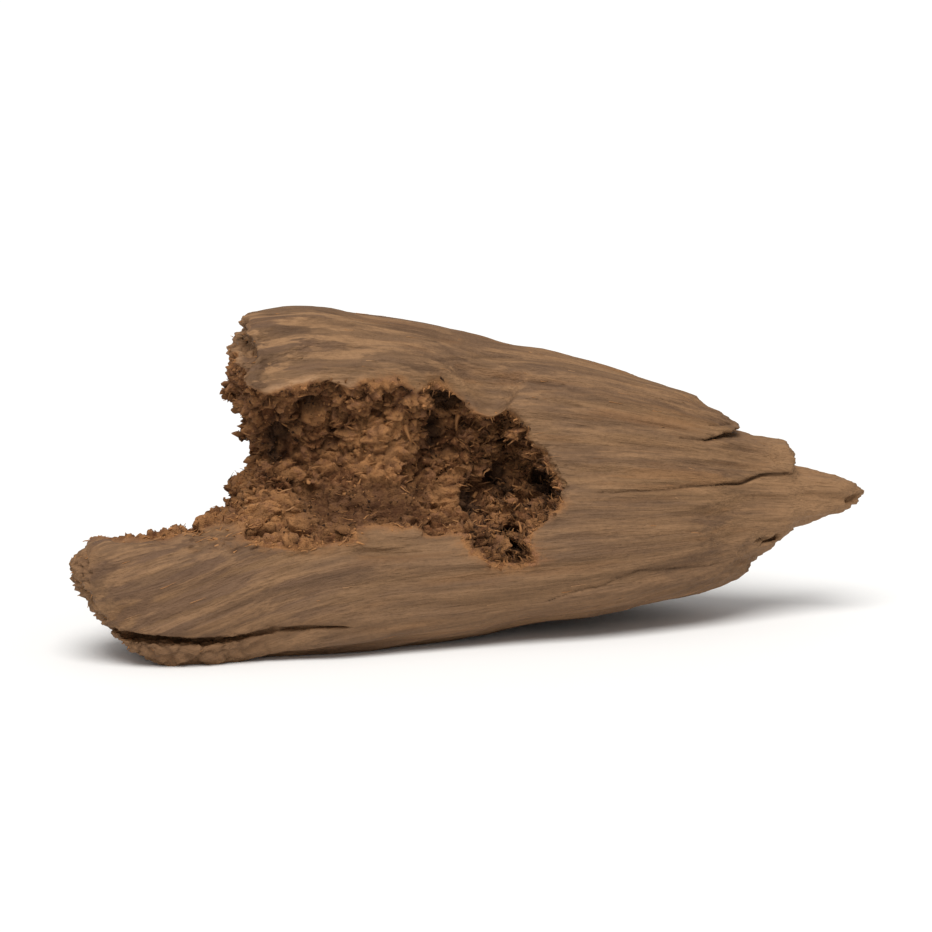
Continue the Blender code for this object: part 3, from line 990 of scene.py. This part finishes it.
def fibre_group(weight, count, lean, lengths, radii, tint, looseness):
    """Axes, places and tints for fibres that lean the way `lean` gives for places and normals."""
    chosen, places = drawn_faces(weight, count)
    normals = face_normals[chosen]
    along = unit(lean(places, normals) + looseness * rng.normal(size=(count, 3)))
    side = unit(np.cross(along, rng.normal(size=(count, 3))))
    other = np.cross(along, side)
    length = rng.uniform(*lengths, size=count)
    radius = rng.uniform(*radii, size=count)
    flatness = rng.uniform(0.5, 1.0, size=count)
    thickness = (radius * flatness)[:, None]
    axes = np.stack([side * radius[:, None], other * thickness, along * length[:, None]], axis=2)
    origins = places - along * (SUNK_SHARE * length)[:, None]
    # Fibres in the shaded places get the same painted shade.
    tints = rng.normal(tint, TINT_SPREAD, count) - 0.35 * face_masks["shade_and_dark_rot"][chosen]
    return axes, origins, tints.clip(0, 1)


def towards_hollow(places, normals):
    along = BLUNT_END + HOLLOW_MIDDLE[0] - places[:, 0]
    inward = np.stack([along, np.zeros(len(places)), HOLLOW_MIDDLE[1] - places[:, 2]], axis=1)
    return 0.9 * unit(inward) + 0.35 * normals + (0, -0.25, 0)


def along_grain(places, normals):
    return grain_direction(places) * rng.choice((-1, 1), size=(len(places), 1)) + 0.12 * normals


def flat_along_grain(places, normals):
    directions = grain_direction(places)
    return directions - normals * (directions * normals).sum(axis=1, keepdims=True)


def hanging(places, normals):
    return 0.5 * normals + (-0.25, -0.1, -0.8)


def out_of_the_end(places, normals):
    return grain_direction(places) * np.sign(normals[:, :1]) + 0.3 * normals


# Each row is where the foot is, from the blunt end and the floor, where the point is, and half a thickness.
STOUT_SPLINTERS = np.array(
    [
        (36.9, 11.2, 38.3, 12.9, 0.22),
        (31.3, 19.0, 31.8, 16.6, 0.32),
        (30.4, 18.6, 30.8, 17.0, 0.28),
        (35.5, 19.0, 34.9, 17.2, 0.28),
        (33.1, 20.5, 32.7, 19.0, 0.24),
        (24.6, 12.9, 26.4, 13.1, 0.22),
    ]
)
STOUT_TINT = 0.55
STOUT_FLATNESS = 0.7


def on_skin(along, up):
    """The place on the side with the hollow that lies so far along and so high."""
    start = Vector((BLUNT_END + along, -30, up)) * MM
    _, place, normal, _ = skin.ray_cast(start, Vector((0, 1, 0)))
    return np.array(place) / MM + np.array(normal) * 0.1


def stout_group():
    """Axes, places and tints for the splinters that are placed one by one."""
    feet = np.array([on_skin(*row[:2]) for row in STOUT_SPLINTERS])
    points = np.array([on_skin(*row[2:4]) for row in STOUT_SPLINTERS])
    radius = STOUT_SPLINTERS[:, 4:]
    along = points - feet
    side = unit(np.cross(along, (0, 1, 0)))
    other = unit(np.cross(along, side))
    axes = np.stack([side * radius, other * radius * STOUT_FLATNESS, along], axis=2)
    return axes, feet, np.full(len(feet), STOUT_TINT)


def scatter_fibres():
    along = face_middles[:, 0] - BLUNT_END
    up = face_middles[:, 2]
    rot = face_masks["rot"]
    border = np.maximum(face_masks["rim"], (rot > 0.5) * (face_masks["inside"] < 0.15))
    off_base = up > 0.6
    end_wall = (rot > 0.5) * smooth_step(along, 35.5, 38.5)
    under_rim = border * (up > 18) * (face_normals[:, 2] < 0.1) * (along > 17)
    floor_of_rot = (rot > 0.5) * (along < 38)
    foot_end = off_base * (face_normals[:, 0] < -0.6) * (along < 18) * (rot < 0.6)
    foot_edge = border * (along < 26) * (up < 14)
    clumps = 0.2 + noise_at(face_middles, 9, 3).clip(0)
    sound = (rot < 0.05) * off_base * (np.abs(face_normals[:, 0]) < 0.5) * (along < 58) * clumps
    # Each row is where they grow, how many, how they lean, lengths, half thicknesses, tint and looseness.
    groups = [
        fibre_group(end_wall, 700, towards_hollow, (0.3, 1.1), (0.08, 0.2), 0.36, 0.5),
        fibre_group(under_rim, 50, hanging, (0.2, 0.6), (0.08, 0.16), 0.26, 0.6),
        fibre_group(floor_of_rot, 700, along_grain, (0.4, 1.2), (0.05, 0.14), 0.5, 0.55),
        fibre_group(foot_end, 150, out_of_the_end, (0.2, 0.4), (0.07, 0.15), 0.58, 0.25),
        fibre_group(foot_edge, 150, along_grain, (0.3, 0.9), (0.07, 0.15), 0.56, 0.2),
        fibre_group(sound, 130, flat_along_grain, (0.6, 1.6), (0.03, 0.06), 0.74, 0.02),
        stout_group(),
    ]
    axes, origins, tints = (np.concatenate(parts) for parts in zip(*groups))
    kinds = [fibre_kind(bend) for bend in FIBRE_BENDS]
    which = rng.integers(len(kinds), size=len(tints))
    return joined_copies("torn_fibres", kinds, which, axes, origins, tints)


fibres = scatter_fibres()
fibres.data.shade_smooth()

# %% [markdown]
# The wood's colour is several layers of noise, nearly all in grain space. Broad bands go from warm tan to a
# cooler brown, finer streaks lie in them, and the finest lines are single fibres, which the bump map raises
# too. The hump above the hollow has more dark and pale streaks, and the foot has purplish ones. Cracks and
# dashes are darker, with dust and painted shade. The lowest wood is a little darker, as painted shade, and
# the tip paler, as painted light. The worn wood is paler in its own colour, and on the strip beneath the
# foot's crack painted light too. Along the rim of the hollow the wood turns orange, or pale with a painted
# highlight where a thin lip of it catches the light. Inside it is a saturated red-brown, paler on the mounds
# and near the rim, partly as painted light, and darkened with painted shade in its recesses.

# %% Colour the wood
PALE_TAN = (0.3, 0.165, 0.078)
MID_TAN = (0.204, 0.11, 0.049)
COOL_BROWN = (0.152, 0.083, 0.042)
PURPLE_BROWN = (0.128, 0.069, 0.039)
DARK_BROWN = (0.1, 0.052, 0.025)
RUST = (0.235, 0.108, 0.038)
DEEP_BROWN = (0.028, 0.011, 0.004)
WORN_AND_LIT_TAN = (0.27, 0.143, 0.066)
LIP_HIGHLIGHT_TAN = (0.38, 0.22, 0.115)
ROT_BROWN = (0.15, 0.055, 0.018)
ROT_TAN = (0.38, 0.174, 0.064)
ROT_ROSE = (0.26, 0.118, 0.072)
MOUND_HIGHLIGHT_TAN = (0.5, 0.235, 0.088)
BUMP_HEIGHT = 0.17 * MM


def rotten_colour(start, place):
    """Crumbling wood: red-brown with tan, nearly black with painted shade where deep, and paler near the rim,
    partly as painted light.
    """
    patches = place.stretched(0.45, 0.45, 0.6).cloud(detail=3, roughness=0.6)
    crumbs = place.stretched(1.5, 1.5, 1.9).cloud(detail=4, roughness=0.68)
    near_rim = 1 - attribute(start, "inside").between(0.0, 0.5)
    own = attribute(start, "chunk_tint") - 0.5
    # The mounds and the rot near the rim are more tan: partly their own colour, partly painted light.
    tan_share = crumbs + 0.5 * patches + 0.5 * attribute(start, "mound") + 0.16 * near_rim + 0.55 * own
    colour = tan_share.between(0.52, 0.98).mixed(ROT_BROWN, ROT_TAN)
    rosy = place.stretched(0.9, 0.9, 0.9).cloud(detail=2).between(0.52, 0.62)
    colour = (rosy * 0.4 * tan_share.between(0.6, 0.9)).mixed(colour, ROT_ROSE)
    # Painted highlight: the mounds are mixed towards a bright tan, as if they caught the light.
    colour = (attribute(start, "mound") * 0.6 * crumbs.between(0.38, 0.56)).mixed(colour, MOUND_HIGHLIGHT_TAN)
    # Painted shade: where this mask is high the rot is mixed towards near-black.
    return (attribute(start, "shade_and_dark_rot") * 0.84).mixed(colour, DEEP_BROWN)


def sound_colour(grain, streaks, fibres, specks, mottles):
    """Weathered wood, from its layers of noise, with painted shade low down and painted light at the tip."""
    bands = grain.stretched(0.04, 0.32, 0.32).cloud(detail=3, distortion=0.5)
    colour = bands.between(0.4, 0.62).mixed(COOL_BROWN, MID_TAN)
    colour = (streaks.between(0.4, 0.68) * 0.75).mixed(colour, PALE_TAN)
    rust_place = grain.stretched(0.08, 0.55, 0.55).cloud(detail=2).between(0.56, 0.72)
    colour = (rust_place * 0.4).mixed(colour, RUST)

    along = grain.part("X")
    up = grain.part("Z")
    on_foot = 1 - along.between(18.0, 30.0)
    purple_place = grain.stretched(0.06, 0.7, 0.7).cloud(detail=2, distortion=0.4).between(0.48, 0.56)
    colour = (purple_place * on_foot * 0.7).mixed(colour, PURPLE_BROWN)
    on_hump = (1 - along.between(28.0, 42.0)) * up.between(16.0, 20.0)
    dark_place = grain.stretched(0.075, 0.75, 0.75).cloud(detail=3, roughness=0.6, distortion=0.3)
    colour = (dark_place.between(0.5, 0.66) * (0.3 + 0.5 * on_hump)).mixed(colour, DARK_BROWN)
    colour = (streaks.between(0.52, 0.62) * (0.7 * on_hump + 0.5 * on_foot)).mixed(colour, PALE_TAN)
    # Painted shade: the lowest wood is darkened.
    colour = ((1 - up.between(4.0, 17.0)) * 0.36).mixed(colour, COOL_BROWN)
    # Painted light: the tip is painted paler.
    colour = (along.between(59.0, 66.0) * 0.9).mixed(colour, PALE_TAN)

    colour = ((1 - fibres.between(0.28, 0.52)) * 0.22).mixed(colour, DEEP_BROWN)
    colour = ((1 - specks.between(0.26, 0.4)) * 0.22).mixed(colour, DEEP_BROWN)
    return ((1 - mottles.between(0.3, 0.6)) * 0.14).mixed(colour, DEEP_BROWN)


def wood_material():
    material, shader, start = new_material("weathered_agarwood")
    grain = attribute(start, "grain", "Vector")
    place = object_place(start)
    rot = attribute(start, "rot")
    streaks = grain.stretched(0.1, 1.15, 1.15).cloud(detail=3, roughness=0.6)
    fibres = grain.stretched(0.24, 4.0, 4.0).cloud(detail=2, roughness=0.6)
    specks = grain.stretched(1.3, 5.5, 5.5).cloud(detail=2)
    mottles = place.stretched(2.0, 2.0, 2.4).cloud(detail=3, roughness=0.65)

    colour = sound_colour(grain, streaks, fibres, specks, mottles)
    # The worn wood's own paler colour; on the strip beneath the foot's crack, which faces down, it is painted
    # light too.
    colour = (attribute(start, "worn") * 0.6).mixed(colour, WORN_AND_LIT_TAN)
    colour = (attribute(start, "rim") * 0.6 * mottles.between(0.3, 0.7)).mixed(colour, RUST)
    # Painted highlight along the thin lip of the rim.
    colour = (attribute(start, "lip_highlight") * 0.8).mixed(colour, LIP_HIGHLIGHT_TAN)
    # Painted shade with dust in the cracks, dashes and crevices.
    colour = (attribute(start, "groove_dust_and_shade") * 0.72).mixed(colour, DEEP_BROWN)
    plug(rot.mixed(colour, rotten_colour(start, place)), shader, "Base Color")
    plug(0.66 + 0.14 * streaks + 0.16 * rot, shader, "Roughness")

    rough_rot = place.stretched(4.0, 4.0, 5.0).cloud(detail=3, roughness=0.7)
    height = (fibres + 0.6 * streaks + 0.4 * specks + 0.7 * mottles) * (1 - rot) + 2.4 * rough_rot * rot
    bump_inputs = {"Height": height, "Strength": 0.9, "Distance": BUMP_HEIGHT}
    plug(start.node("ShaderNodeBump", None, bump_inputs), shader, "Normal")
    shader.inputs["Specular IOR Level"].default_value = 0.3
    return material


skin.data.materials.clear()
skin.data.materials.append(wood_material())

# %% [markdown]
# Crumbs and fibres are the same wood in small bits. Each carries one number, its tint, and a ramp turns that
# into a colour, from nearly black through red-brown to the tan of sound wood. A little noise breaks it up.

# %% Colour the small pieces
CRUMB_TAN = (0.33, 0.185, 0.095)
FIBRE_TAN = (0.35, 0.2, 0.1)


def bits_material(name, pale):
    material, shader, start = new_material(name)
    mottled = object_place(start).stretched(2.5, 3.5, 3.5).cloud(detail=2)
    tint = attribute(start, "tint") + 0.35 * (mottled - 0.5)
    colour = tint.between(0.0, 0.55).mixed(DEEP_BROWN, ROT_TAN)
    colour = tint.between(0.5, 1.0).mixed(colour, pale)
    plug(colour, shader, "Base Color")
    shader.inputs["Roughness"].default_value = 0.85
    shader.inputs["Specular IOR Level"].default_value = 0.25
    return material


crumbs.data.materials.append(bits_material("crumbled_wood", CRUMB_TAN))
fibres.data.materials.append(bits_material("torn_wood", FIBRE_TAN))

# %% [markdown]
# The skin replaces the solid, which stays behind it for the physics.

# %% Hand over
for piece in (skin, crumbs, fibres):
    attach(piece, "root")
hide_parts("agarwood_piece")
